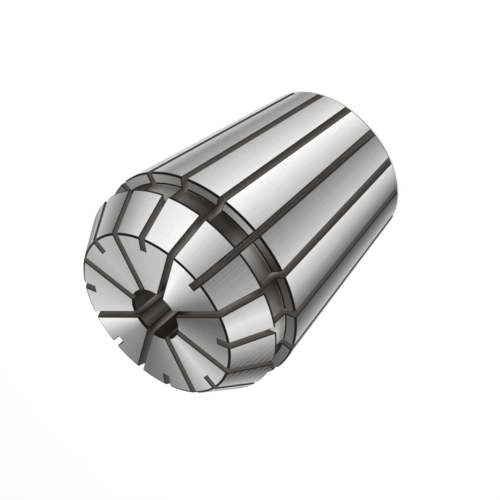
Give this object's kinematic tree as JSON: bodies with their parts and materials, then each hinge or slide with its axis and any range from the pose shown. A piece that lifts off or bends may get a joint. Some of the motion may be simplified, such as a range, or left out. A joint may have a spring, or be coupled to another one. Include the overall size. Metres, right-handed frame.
{
  "type": "er collet",
  "caption": "Slotted spring collet with a long tapered body, an extraction groove, a conical nose and a through bore that grips a round tool shank.",
  "frame": {"origin": "centre of the rear (small) face, in the plane that the collet stands on", "axes": "+Z along the bore axis, from the rear face to the front face; +X through the middle of a slot that is open at the front face"},
  "size_m": [0.033, 0.033, 0.04],
  "materials": {
    "ground_steel": "ground and polished spring steel, bright on the tapers and faces, dark grey in the slots and the groove"
  },
  "bodies": {
    "root": {"collet": "ground_steel"}
  },
  "joints": []
}
